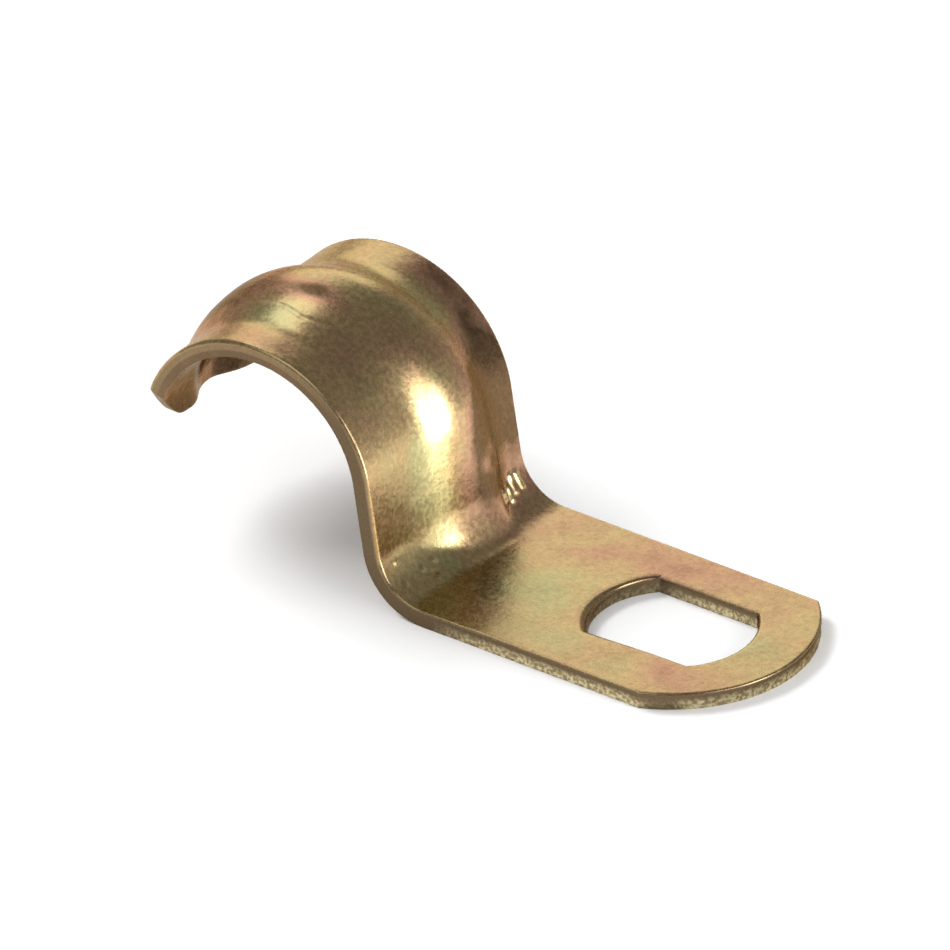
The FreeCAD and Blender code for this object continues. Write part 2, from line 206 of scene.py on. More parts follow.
def share(name, value, description):
    """A property that holds a plain share."""
    return FloatProperty(name=name, description=description, default=value, min=0.0, subtype="FACTOR")


def colour(name, value, description):
    """A property that holds a linear colour."""
    return FloatVectorProperty(
        name=name, description=description, default=value, size=3, min=0.0, max=1.0, subtype="COLOR")


class StrapSizes(bpy.types.PropertyGroup):
    """Sizes of the pressed strap."""

    thickness: length("Sheet", SHEET, "Thickness of the sheet")
    width: length("Width", HIGH.y - LOW.y, "Width of the strip, along the cable")
    saddle_radius: length("Saddle radius", SADDLE_RADIUS, "Inside radius of the saddle")
    wall_lean: turn("Wall lean", 9.5, "Lean of the wall from upright")
    bend_radius: length("Bend radius", 4.5 * MM, "Radius on the upper side of the bend")
    rib_height: length(
        "Rib height", HIGH.z - SADDLE_AXIS.z - SADDLE_RADIUS - SHEET, "Rise of the rib above its flanges")
    near_crown: length("Near crown", 12.0 * MM, "Radius of the rib's crown on the saddle's near side")
    near_blend: length("Near blend", 3.5 * MM, "Radius where the rib meets the saddle's near flange")
    near_flank: turn("Near flank", 21.0, "Slope of the rib's near side")
    wall_crown: length("Wall crown", 9.0 * MM, "Radius of the rib's crown on the wall's near side")
    wall_blend: length("Wall blend", 9.0 * MM, "Radius where the rib meets the wall's near flange")
    far_crown: length("Far crown", 5.5 * MM, "Radius of the rib's crown on the far side")
    far_blend: length("Far blend", 7.0 * MM, "Radius where the rib meets the far flange")
    far_flank: turn("Far flank", 23.3, "Slope of the rib's far side")
    end_apex: length("End apex", -1.0 * MM, "Rib's highest line off the strip's middle, at the free end")
    foot_apex: length("Foot apex", 3.4 * MM, "Rib's highest line off the strip's middle, at its foot")
    near_edge: length("Near edge", -7.2 * MM, "Where the near flange starts on the saddle, off the middle")
    wall_edge: length("Wall edge", -4.2 * MM, "Where the near flange starts at the wall's top")
    toe_edge: length("Toe edge", -7.6 * MM, "Where the near flange starts at the rib's foot")
    fan_start: length("Fan start", -14.0 * MM, "Where the rib's near side starts to fan out on the wall")
    fan_run: length("Fan run", 9.0 * MM, "Length on which the rib's near side fans out")
    end_edge: length("End edge", 4.0 * MM, "Where the far flange starts at the free end")
    foot_edge: length("Foot edge", 8.6 * MM, "Where the far flange starts at the rib's foot")
    toe_radius: length("Toe radius", 9.0 * MM, "Radius with which the rib's crown runs out at its foot")
    toe_corner: length("Toe corner", 0.30 * MM, "Rounding between the rib's foot and the bend")
    chamfer_across: length("Chamfer across", 3.1 * MM, "Reach across of the free end's cut corners")
    chamfer_along: length("Chamfer along", 3.9 * MM, "Reach along of the free end's cut corners")
    chamfer_round: length("Chamfer round", 0.35 * MM, "Rounding of the free end's cut corners")
    end_trim: length("End trim", 0.1 * MM, "What the rounding would take off the free end")
    slot_length: length("Slot length", 14.0 * MM, "Diameter of the slot's round ends")
    slot_width: length("Slot width", 10.0 * MM, "Distance between the slot's flats")
    end_reach: length("End reach", HIGH.x, "Slot's centre to the lug's end")
    end_radius: length("End radius", 12.5 * MM, "Radius of the lug's round end")
    end_offset: length("End offset", 1.2 * MM, "Centre of the lug's end off the strip's middle")
    rollover: length("Rollover", 0.36 * MM, "Radius of the strip's upper edges")
    lug_rollover: length("Lug rollover", 0.18 * MM, "Radius of the lug's upper edges")
    slot_rollover: length("Slot rollover", 0.26 * MM, "Radius that punching leaves round the slot")
    slot_bevel: length("Slot bevel", 0.60 * MM, "What the rollover gains at one corner of the slot")
    bevel_reach: length("Bevel reach", 4.5 * MM, "How far that gain reaches round the slot")
    burr: length("Burr", 0.07 * MM, "Rounding of the lower edges")
    burnish: share("Burnish", 0.17, "Share of a cut edge that is smooth")
    fracture: length("Fracture", 0.075 * MM, "Roughness of the torn part of a cut edge")
    waviness: length("Waviness", 0.022 * MM, "Unevenness of the pressed faces")


class ZincFinish(bpy.types.PropertyGroup):
    """Colours and gloss of the yellow passivated zinc."""

    gold: colour("Gold", (0.665, 0.475, 0.235), "Film of middle thickness")
    pink: colour("Pink", (0.63, 0.365, 0.225), "Thin film")
    # Brown is the thin film's own colour and also what the painted shade on the far flange, the saddle's rim
    # and the underside runs to
    brown: colour("Brown", (0.21, 0.13, 0.07), "Thinnest film")
    green: colour("Green", (0.58, 0.515, 0.25), "Thick film")
    # Sheared edges: the steel's own brown, darkened further as painted shade
    cut: colour("Cut edge", (0.15, 0.105, 0.06), "Sheared edges")
    tear: colour("Torn edge", (0.35, 0.27, 0.145), "Torn part of the cut edges")
    fleck: colour("Fleck", (0.72, 0.63, 0.385), "Torn grains that catch the light")
    graze: colour("Graze", (0.62, 0.52, 0.42), "What is left of the white that metal shows at a flat angle")
    smooth: share("Smoothest", 0.24, "Roughness of the smoothest places")
    dull: share("Dullest", 0.30, "Roughness of the dullest places")
    patch: length("Patch", 4.5 * MM, "Size of the patches of colour")
    grain: length("Grain", 0.42 * MM, "Size of the plating's grain")
    grain_depth: length("Grain depth", 0.036 * MM, "Depth of the plating's grain")
    speckle: length("Speckle", 0.336 * MM, "Size of the torn grains")


class StudioSettings(bpy.types.PropertyGroup):
    """Camera and light."""

    azimuth: turn("Azimuth", 35.62, "Camera's turn about the clamp, from straight in front")
    elevation: turn("Elevation", 31.14, "Camera's height above the horizon")
    distance: length("Distance", 2600.7 * MM, "Camera to the clamp")
    lens: FloatProperty(name="Lens", description="Focal length", default=1193.4, unit="CAMERA")
    aim_right: length("Aim right", 12.06 * MM, "Picture's middle, right of the saddle axis")
    aim_up: length("Aim up", 3.14 * MM, "Picture's middle, above the floor below the saddle axis")
    floor: colour("Floor", (0.90, 0.90, 0.90), "Colour of the floor")
    floor_glow: share("Floor glow", 0.10, "What the floor gains towards the camera, so that it turns white")


def eased(part):
    """A share from 0 to 1 that starts and ends slowly."""
    return part * part * (3 - 2 * part)


class StrapForm:
    """Carries points of the flat blank to the pressed strap.

    A blank's point is its length along the strip from the lug's root, its place across from the middle, and
    its depth below the upper face.
    """

    def __init__(self, sizes):
        self.sizes = sizes
        self.outer = sizes.saddle_radius + sizes.thickness
        self.half = sizes.width / 2
        lean = sizes.wall_lean
        reach = self.outer + sizes.bend_radius
        drop = SADDLE_AXIS.z - sizes.thickness - sizes.bend_radius
        self.wall = (reach * math.sin(lean) + drop) / math.cos(lean)
        self.bend = sizes.bend_radius * (math.pi / 2 - lean)
        self.root_x = SADDLE_AXIS.x + reach * math.cos(lean) + self.wall * math.sin(lean)
        self.free_end = -self.bend - self.wall - self.outer * (math.pi - lean)

    def path(self, along):
        """Place and outward direction of the upper flange line, at a length along it.

        Past the root it is straight, then come an arc about the bend's centre, a straight leaning wall and
        an arc about the saddle axis.
        """
        sizes = self.sizes
        lean = sizes.wall_lean
        up_wall = -along - self.bend
        in_bend = math.pi / 2 + along / sizes.bend_radius
        in_saddle = lean + (up_wall - self.wall) / self.outer
        parts = [along >= 0, up_wall <= 0, up_wall <= self.wall]
        facing = np.select(parts, [math.pi / 2, in_bend, lean], in_saddle)
        out = np.stack([np.cos(facing), np.sin(facing)], -1)
        bend_centre = np.array([self.root_x, sizes.thickness + sizes.bend_radius])
        saddle = np.array([SADDLE_AXIS.x, SADDLE_AXIS.z]) + self.outer * out
        wall_foot = bend_centre - sizes.bend_radius * np.array([math.cos(lean), math.sin(lean)])
        wall = wall_foot + up_wall[..., None] * np.array([-math.sin(lean), math.cos(lean)])
        lug = np.stack([self.root_x + along, np.full_like(along, sizes.thickness)], -1)
        bend = bend_centre - sizes.bend_radius * out
        place = np.select([part[..., None] for part in parts], [lug, bend, wall], saddle)
        return place, out

    def half_rib(self, gap, width, crown, blend, flank):
        """Height and fall of one half of the full rib, at a distance from its apex, drawn out to a width.

        An arc at the crown comes first, then a straight flank, then an arc into the flange.
        """
        rise = self.sizes.rib_height
        slope = math.tan(flank)
        shoulder = crown * math.sin(flank)
        shoulder_height = rise - crown * (1 - math.cos(flank))
        foot = shoulder + (shoulder_height - blend * (1 - math.cos(flank))) / slope
        own_width = foot + blend * math.sin(flank)
        gap = gap * own_width / width
        crown_run = np.sqrt(crown ** 2 - np.clip(gap, 0, shoulder) ** 2)
        blend_in = np.clip(own_width - gap, 0, own_width - foot)
        blend_run = np.sqrt(blend ** 2 - blend_in ** 2)
        parts = [gap < shoulder, gap < foot]
        height = np.select(
            parts, [rise - crown + crown_run, shoulder_height - (gap - shoulder) * slope], blend - blend_run)
        fall = np.select(parts, [np.clip(gap, 0, None) / crown_run, slope], blend_in / blend_run)
        return height, fall * own_width / width

    def rib(self, along, across):
        """Height and slope of the full rib, that drifts and widens from the free end to its foot."""
        sizes = self.sizes
        down = np.clip((along - self.free_end) / (-self.bend - self.free_end), 0, 1)
        apex = sizes.end_apex + (sizes.foot_apex - sizes.end_apex) * down
        far_edge = sizes.foot_edge + (sizes.end_edge - sizes.foot_edge) * (1 - down) ** FAR_EDGE_POWER
        on_wall = eased(np.clip((down - WALL_SHAPE_FROM) / WALL_SHAPE_OVER, 0, 1))
        fan = np.clip((along - sizes.fan_start) / sizes.fan_run, 0, 1)
        wall_edge = sizes.wall_edge + (sizes.toe_edge - sizes.wall_edge) * fan
        near_end = np.clip(1 - down / END_NARROWING_OVER, 0, 1)
        saddle_edge = sizes.near_edge * (1 - END_NARROWING * near_end ** 2)
        saddle, saddle_fall = self.half_rib(
            apex - across, apex - saddle_edge, sizes.near_crown, sizes.near_blend, sizes.near_flank)
        wall, wall_fall = self.half_rib(
            apex - across, apex - wall_edge, sizes.wall_crown, sizes.wall_blend, sizes.near_flank)
        near = saddle + (wall - saddle) * on_wall
        near_fall = saddle_fall + (wall_fall - saddle_fall) * on_wall
        far, far_fall = self.half_rib(
            across - apex, far_edge - apex, sizes.far_crown, sizes.far_blend, sizes.far_flank)
        beyond = across > apex
        return np.where(beyond, far, near), np.where(beyond, -far_fall, near_fall)

    def toe(self, along, height, slope):
        """Height and slope that the bend leaves of the rib.

        In the bend each of the rib's lines runs on along an arc, all about one centre, until it meets the
        bend's own face in a blunt corner. About the bend's centre an arc is at
        -e cos(t) + sqrt(r^2 - e^2 sin^2(t)) and the face at the bend's radius; the nearer of the two counts,
        rounded where they cross.
        """
        sizes = self.sizes
        through = np.clip(1 + along / self.bend, 0, 1)
        turned = through * (math.pi / 2 - sizes.wall_lean)
        off = sizes.toe_radius + sizes.rib_height - sizes.bend_radius
        radius = off + sizes.bend_radius - height
        run = np.sqrt(radius ** 2 - (off * np.sin(turned)) ** 2)
        rise = sizes.bend_radius + off * np.cos(turned) - run
        corner = sizes.toe_corner * np.sin(math.pi * through) * height / sizes.rib_height
        rounded = np.hypot(rise / 2, corner)
        kept = 0.5 + 0.25 * rise / np.maximum(rounded, TINY)
        return rise / 2 + rounded, slope * kept * radius / run

    def press(self, blank):
        """Places of blank points on the strap, each its depth below the ribbed face, square to the rib."""
        along, across, depth = blank[..., 0], blank[..., 1], blank[..., 2]
        place, out = self.path(along)
        height, slope = self.toe(along, *self.rib(along, across))
        square = 1 / np.sqrt(1 + slope ** 2)
        lift = height - depth * square
        side = SADDLE_AXIS.y + across + depth * slope * square
        return np.stack([place[..., 0] + lift * out[..., 0], side, place[..., 1] + lift * out[..., 1]], -1)


def smooth_noise(points, cell, seed):
    """Noise from -1 to 1: random values on a square lattice, blended smoothly between its corners."""
    values = np.random.default_rng(seed).uniform(-1, 1, (LATTICE, LATTICE))
    steps = points / cell
    corner = np.floor(steps).astype(int)
    blend = eased(steps - corner)
    i, j = corner[..., 0] % LATTICE, corner[..., 1] % LATTICE
    i_next, j_next = (i + 1) % LATTICE, (j + 1) % LATTICE
    low = values[i, j] * (1 - blend[..., 0]) + values[i_next, j] * blend[..., 0]
    high = values[i, j_next] * (1 - blend[..., 0]) + values[i_next, j_next] * blend[..., 0]
    return low * (1 - blend[..., 1]) + high * blend[..., 1]


def stroke_rise(points, start, end, reach):
    """A rounded ridge of height 1 along a line: a bell curve of the distance to the line."""
    start, end = np.array(start) * MM, np.array(end) * MM
    run = end - start
    part = np.clip(((points - start) @ run) / (run @ run), 0, 1)
    gap = np.linalg.norm(points - start - part[..., None] * run, axis=-1)
    return np.exp(-(gap / (reach * MM)) ** 2)


def face_rise(points, sizes):
    """Small rises of the pressed face: slow waves, and the marks that forming left."""
    waves = smooth_noise(points, WAVE_CELL, WAVE_SEED)
    rise = sizes.waviness * (waves + FINE_WAVE * smooth_noise(points, FINE_WAVE_CELL, WAVE_SEED + 1))
    for start, end, reach, height in STROKES:
        rise = rise + height * MM * stroke_rise(points, start, end, reach)
    return rise


def film_and_shade_tint(points):
    """Tint of the film from -2, brown, over -1, pink, to 1, green: soft round patches added up, some of them
    painted shade and one painted light.
    """
    tint = np.zeros(points.shape[:-1])
    for along, across, reach_along, reach_across, amount in FILM_AND_SHADE_PATCHES:
        gap = (points - np.array([along, across]) * MM) / (np.array([reach_along, reach_across]) * MM)
        tint = tint + amount * np.exp(-(gap ** 2).sum(-1))
    return np.clip(tint, TINT_LOW, TINT_HIGH)


class BlankOutline:
    """The blank's cut outline and its slot, as loops of points that run anticlockwise seen from above."""

    def __init__(self, form):
        self.form = form
        self.sizes = form.sizes
        corner = form.sizes.chamfer_across / form.half
        side = 1 - corner + corner * np.sin(np.linspace(0, math.pi / 2, CORNER + 1))
        middle = np.linspace(corner - 1, 1 - corner, ACROSS - 2 * CORNER + 1)
        self.columns = np.concatenate([-side[:0:-1], middle, side[1:]])
        saddle_end = -form.bend - form.wall
        self.rows = np.concatenate([
            np.linspace(form.free_end, saddle_end, SADDLE_ROWS + 1)[:-1],
            np.linspace(saddle_end, -form.bend, WALL_ROWS + 1)[:-1],
            np.linspace(-form.bend, 0, BEND_ROWS + 1)])

    def strip(self, inset):
        """Blank points of the strip from the free end to the root, drawn in by an inset for each row.

        The rows near the free end follow its cut corners and straighten out over the next rows. For an
        inset i a corner's line is at g p + i sqrt(1 + g^2), p into the corner and with its slope g, and the
        end's line at i; the farther of the two counts, rounded where they cross.
        """
        sizes, form = self.sizes, self.form
        inset = np.broadcast_to(inset, self.rows.shape)[:, None]
        across = (form.half - inset) * self.columns
        slope = sizes.chamfer_along / sizes.chamfer_across
        corner = slope * (np.abs(across) - form.half + sizes.chamfer_across) + inset * math.hypot(1, slope)
        shift = (corner + inset) / 2 + np.hypot((corner - inset) / 2, sizes.chamfer_round) - sizes.end_trim
        reach = STRAIGHTEN_REACH * sizes.chamfer_along
        near_end = np.clip(1 - (self.rows - form.free_end) / reach, 0, 1)
        along = self.rows[:, None] + shift * near_end[:, None] ** STRAIGHTEN_POWER
        return np.stack([along, across], -1)

    def lug_loop(self, inset):
        """Near side, round end and far side of the lug, drawn in by an inset, and its root."""
        sizes, form = self.sizes, self.form
        half = form.half - inset
        radius = sizes.end_radius - inset
        centre = np.array([sizes.end_reach - sizes.end_radius - form.root_x, sizes.end_offset])
        first = -math.asin((half + centre[1]) / radius)
        last = math.asin((half - centre[1]) / radius)
        turns = np.linspace(first, last, LUG_END + 1)
        end = centre + radius * np.stack([np.cos(turns), np.sin(turns)], -1)
        steps = np.linspace(0, 1, LUG_SIDE + 1)
        near = np.stack([steps * end[0, 0], np.full_like(steps, -half)], -1)
        far = np.stack([steps[::-1] * end[-1, 0], np.full_like(steps, half)], -1)
        root = np.stack([np.zeros(ACROSS + 1), -half * self.columns], -1)
        return [near[:-1], end[:-1], far[:-1], root[:-1]]

    def slot_loop(self, inset):
        """Near flat, right end, far flat and left end of the slot, moved into the sheet by an inset."""
        sizes, form = self.sizes, self.form
        half = sizes.slot_width / 2 + inset
        radius = sizes.slot_length / 2 + inset
        centre = np.array([-form.root_x, -SADDLE_AXIS.y])
        corner = math.asin(half / radius)
        reach = radius * math.cos(corner)
        right = np.linspace(-corner, corner, LUG_END + 1)
        left = np.linspace(math.pi - corner, math.pi + corner, ACROSS + 1)
        flat = np.linspace(-reach, reach, LUG_SIDE + 1)
        near = np.stack([flat, np.full_like(flat, -half)], -1)
        far = np.stack([-flat, np.full_like(flat, half)], -1)
        ends = [radius * np.stack([np.cos(turns), np.sin(turns)], -1) for turns in (right, left)]
        loop = np.concatenate([near[:-1], ends[0][:-1], far[:-1], ends[1][:-1]])
        return centre + loop

    def roll_at(self, along):
        """Rollover of the upper edge: the strip's, that falls to the lug's through the bend."""
        sizes = self.sizes
        gain = sizes.rollover - sizes.lug_rollover
        return sizes.lug_rollover + gain * np.clip(-along / self.form.bend, 0, 1)

    def outer_loop(self, inset, lug_inset=None):
        """The blank's whole outline, drawn in by an inset, or by one for the strip and one for the lug."""
        strip = self.strip(inset)
        lug = self.lug_loop(inset if lug_inset is None else lug_inset)[:3]
        return np.concatenate([*lug, strip[::-1, -1][:-1], strip[0, ::-1][:-1], strip[:-1, 0]])


def edge_profile(sizes, roll):
    """The cut edge's section from the upper face down: outset from the outline, depth, and share of tearing.

    A quarter round comes first, then the straight burnished band, then the torn band and a small round.
    """
    quarter = np.linspace(0, math.pi / 2, ROLL_ROWS + 1)[:, None]
    torn_end = sizes.thickness - sizes.burr
    smooth_end = roll + sizes.burnish * (torn_end - roll)
    burnish = np.linspace(0, 1, BURNISH_ROWS + 1)[1:, None]
    torn = np.linspace(0, 1, FRACTURE_ROWS + 1)[1:, None]
    nought = np.zeros_like(roll)[None, :]
    outset = np.concatenate([
        -roll * (1 - np.sin(quarter)), burnish * nought, torn * nought,
        nought - BURR_MIDDLE * sizes.burr, nought - sizes.burr])
    depth = np.concatenate([
        roll * (1 - np.cos(quarter)), roll + (smooth_end - roll) * burnish,
        smooth_end + (torn_end - smooth_end) * torn,
        nought + sizes.thickness - BURR_MIDDLE * sizes.burr, nought + sizes.thickness])
    tearing = np.concatenate([
        np.zeros((ROLL_ROWS + 1 + BURNISH_ROWS, 1)), np.sin(math.pi * torn / 2), [[0.5], [0.0]]])
    return outset, depth, tearing + nought


def cut_edge(loop_at, roll, tear, sizes, seed):
    """Blank points of a cut edge: the edge's section carried round a loop, roughened where it tore."""
    loop = loop_at(0.0)
    outward = (loop - loop_at(STEP)) / STEP
    outset, depth, tearing = edge_profile(sizes, roll)
    tearing = tearing * tear
    run = np.cumsum(np.linalg.norm(np.roll(loop, -1, axis=0) - loop, axis=1))
    wall = np.stack([np.broadcast_to(run, depth.shape), depth], -1)
    rough = smooth_noise(wall, TEAR_CELL, seed) + FINE_TEAR * smooth_noise(wall, FINE_TEAR_CELL, seed + 1)
    outset = outset + sizes.fracture * tearing * (rough - 1)
    flat = loop[None] + outset[..., None] * outward[None]
    return np.concatenate([flat, depth[..., None]], -1), tearing


def faces_of(first, shape, closed, flipped):
    """Corner numbers of a grid's quads, from its first point's number; a closed grid's rows are rings."""
    numbers = first + np.arange(shape[0] * shape[1]).reshape(shape)
    if closed:
        numbers = np.concatenate([numbers, numbers[:, :1]], 1)
    quads = np.stack([numbers[:-1, :-1], numbers[1:, :-1], numbers[1:, 1:], numbers[:-1, 1:]], -1)
    quads = quads.reshape(-1, 4)
    return quads[:, ::-1] if flipped else quads


class Skin:
    """Gathers grids of blank points and welds them to one closed mesh."""

    def __init__(self):
        self.blank, self.cut, self.torn, self.faces = [], [], [], []
        self.count = 0

    def add(self, blank, closed=False, flipped=False, cut=None, torn=None):
        """Adds one grid, with the shares of cut and torn edge at its points."""
        shape = blank.shape[:2]
        plain = np.zeros(shape)
        self.blank.append(blank.reshape(-1, 3))
        self.cut.append((plain if cut is None else cut).ravel())
        self.torn.append((plain if torn is None else torn).ravel())
        self.faces.append(faces_of(self.count, shape, closed, flipped))
        self.count += shape[0] * shape[1]

    def welded(self):
        """Points, cut shares, torn shares and faces, with points that fall together made one."""
        blank = np.concatenate(self.blank)
        keys = np.round(blank / WELD).astype(np.int64)
        _, first, number = np.unique(keys, axis=0, return_index=True, return_inverse=True)
        faces = number.ravel()[np.concatenate(self.faces)]
        return blank[first], np.concatenate(self.cut)[first], np.concatenate(self.torn)[first], faces


def with_depth(points, depth):
    """Blank points of a face at a depth below the upper face."""
    return np.concatenate([points, np.broadcast_to(depth, points.shape[:-1])[..., None]], -1)


def lug_rings(inner, outer):
    """A face between two loops: straight lines from one to the other, cut into rings."""
    share_out = np.linspace(0, 1, LUG_RINGS + 1)[:, None, None]
    return inner[None] * (1 - share_out) + outer[None] * share_out


def outline_tearing(outer):
    """How far the outline's edge tore: more and more along the lug, and hardly at one of its corners."""
    on_lug = np.clip((outer[:, 0] - TEAR_START) / TEAR_RUN, 0, 1)
    corner_gap = np.linalg.norm(outer - np.array(SPARED_CORNER), axis=1)
    return on_lug * (1 - SPARED_SHARE * np.exp(-(corner_gap / SPARED_REACH) ** 4))


def slot_tearing(slot_edge):
    """How far the slot's edge tore: more and more along its far flat, and a little at its left end."""
    along = slot_edge[:, 0]
    far_flat = slot_edge[:, 1] > slot_edge[:, 1].max() - STEP
    passed = (along - along[far_flat].min()) / np.ptp(along[far_flat])
    on_flat = np.clip(FLAT_TEAR + FLAT_TEAR_GAIN * passed, 0, 1)
    return np.where(far_flat, on_flat, LEFT_END_TEAR * (passed < 0))


def slot_roll(slot_edge, sizes):
    """Rollover round the slot, which gains a bevel at the corner where its loop ends."""
    corner_gap = np.linalg.norm(slot_edge - slot_edge[-1], axis=1)
    return sizes.slot_rollover + sizes.slot_bevel * np.exp(-(corner_gap / sizes.bevel_reach) ** 2)


def skin_film_and_shade(blank, rise, sizes):
    """Tint of the film on the skin: lighter where marks stand up, partly rubbed and partly a painted glint,
    and an even painted shade on the underside.
    """
    tint = film_and_shade_tint(blank[:, :2])
    # Painted glint, with rubbing: raised marks get a lighter tint
    rubbed_glint = np.clip(rise / RUBBED_GLINT_RISE, 0, 1)
    tint = tint + np.maximum(RUBBED_GLINT_TINT - tint, 0) * rubbed_glint
    # Painted shade: the whole underside gets a dark brown tint
    return np.where(blank[:, 2] > sizes.thickness / 2, UNDERSIDE_SHADE_TINT, tint)


def strap_skin(sizes):
    """The strap's closed skin: its upper and lower faces, its cut outline and its slot."""
    form = StrapForm(sizes)
    outline = BlankOutline(form)
    outer = outline.outer_loop(0.0)
    slot_edge = outline.slot_loop(0.0)
    strip_roll = outline.roll_at(outline.rows)
    edge, edge_torn = cut_edge(
        outline.outer_loop, outline.roll_at(outer[:, 0]), outline_tearing(outer), sizes, OUTLINE_SEED)
    edge[0, :, :2] = outline.outer_loop(strip_roll, sizes.lug_rollover)
    edge[-1, :, :2] = outline.outer_loop(sizes.burr)
    slot, slot_torn = cut_edge(
        outline.slot_loop, slot_roll(slot_edge, sizes), slot_tearing(slot_edge), sizes, SLOT_SEED)
    cut_share = np.concatenate([
        np.linspace(0, 1, ROLL_ROWS + 1), np.ones(BURNISH_ROWS + FRACTURE_ROWS), [1.0, 0.0]])[:, None]
    on_arch = np.clip((ARCH_START - outer[:, 0]) / ARCH_RUN, 0, 1)
    skin = Skin()
    for inset, lug_inset, slot_row, depth, flipped in (
            (strip_roll, sizes.lug_rollover, slot[0], 0.0, False),
            (sizes.burr, sizes.burr, slot[-1], sizes.thickness, True)):
        rings = lug_rings(slot_row[:, :2], np.concatenate(outline.lug_loop(lug_inset)))
        skin.add(with_depth(outline.strip(inset), depth), flipped=flipped)
        skin.add(with_depth(rings, depth), closed=True, flipped=flipped)
    skin.add(edge, closed=True, cut=cut_share * (1 - ARCH_COVER * on_arch), torn=edge_torn)
    slot_cut = np.broadcast_to(cut_share, slot_torn.shape)
    skin.add(slot, closed=True, flipped=True, cut=slot_cut, torn=slot_torn)
    blank, cut, torn, faces = skin.welded()
    rise = face_rise(blank[:, :2], sizes)
    raised = blank.copy()
    raised[:, 2] -= rise * (1 - cut) * np.clip(1 - blank[:, 2] / sizes.thickness, 0, 1)
    # The film share holds painted shade, painted light and painted glints as well as the film's own hues
    return form.press(raised), faces, {"film_and_shade": skin_film_and_shade(blank, rise, sizes), "cut": cut, "torn": torn}


def skin_object(name, points, faces, shares, material):
    """A mesh object from arrays of points, quads and named shares."""
    mesh = bpy.data.meshes.new(name)
    mesh.vertices.add(len(points))
    mesh.vertices.foreach_set("co", points.astype(np.float32).ravel())
    mesh.loops.add(faces.size)
    mesh.loops.foreach_set("vertex_index", faces.astype(np.int32).ravel())
    mesh.polygons.add(len(faces))
    mesh.polygons.foreach_set("loop_start", np.arange(0, faces.size, 4, dtype=np.int32))
    mesh.polygons.foreach_set("use_smooth", np.ones(len(faces), bool))
    for key, values in shares.items():
        mesh.attributes.new(key, "FLOAT", "POINT").data.foreach_set("value", values.astype(np.float32))
    mesh.update(calc_edges=True)
    mesh.validate()
    mesh.materials.append(material)
    piece = bpy.data.objects.new(name, mesh)
    bpy.context.scene.collection.objects.link(piece)
    return piece


class NodeBuilder:
    """Adds and joins the nodes of one material or world."""

    def __init__(self, tree):
        self.tree = tree
        tree.nodes.clear()

    def add(self, kind, inputs=None, **settings):
        """A node with its settings made and its inputs set or linked."""
        node = self.tree.nodes.new(kind)
        for key, value in settings.items():
            setattr(node, key, value)
        for key, value in (inputs or {}).items():
            if isinstance(value, bpy.types.NodeSocket):
                self.tree.links.new(value, node.inputs[key])
            else:
                node.inputs[key].default_value = value
        return node

    def noise(self, place, cell, detail, roughness=0.5):
        """Noise with patches of about a cell, as a share from 0 to 1."""
        made = self.add("ShaderNodeTexNoise", {
            "Vector": place, "Scale": 1 / cell, "Detail": detail, "Roughness": roughness})
        return made.outputs["Fac"]

    def spread(self, value, low, high, to_low, to_high):
        """A value mapped from one range to another."""
        made = self.add("ShaderNodeMapRange", {
            "Value": value, "From Min": low, "From Max": high, "To Min": to_low, "To Max": to_high})
        return made.outputs["Result"]

    def maths(self, operation, first, second):
        """Two values worked together."""
        return self.add("ShaderNodeMath", {0: first, 1: second}, operation=operation).outputs[0]

    def mix(self, amount, first, second, blend_type="MIX"):
        """Two colours mixed."""
        made = self.add("ShaderNodeMix", data_type="RGBA", blend_type=blend_type)
        for socket, value in (("Factor_Float", amount), ("A_Color", first), ("B_Color", second)):
            target = next(found for found in made.inputs if found.identifier == socket)
            if isinstance(value, bpy.types.NodeSocket):
                self.tree.links.new(value, target)
            else:
                target.default_value = value
        return next(found for found in made.outputs if found.identifier == "Result_Color")

    def attribute(self, name):
        """One of the mesh's named shares."""
        return self.add("ShaderNodeAttribute", attribute_name=name).outputs["Fac"]


def opaque(values):
    """A colour with full opacity."""
    return (*values, 1.0)


def grey(value):
    """An opaque grey."""
    return opaque((value, value, value))


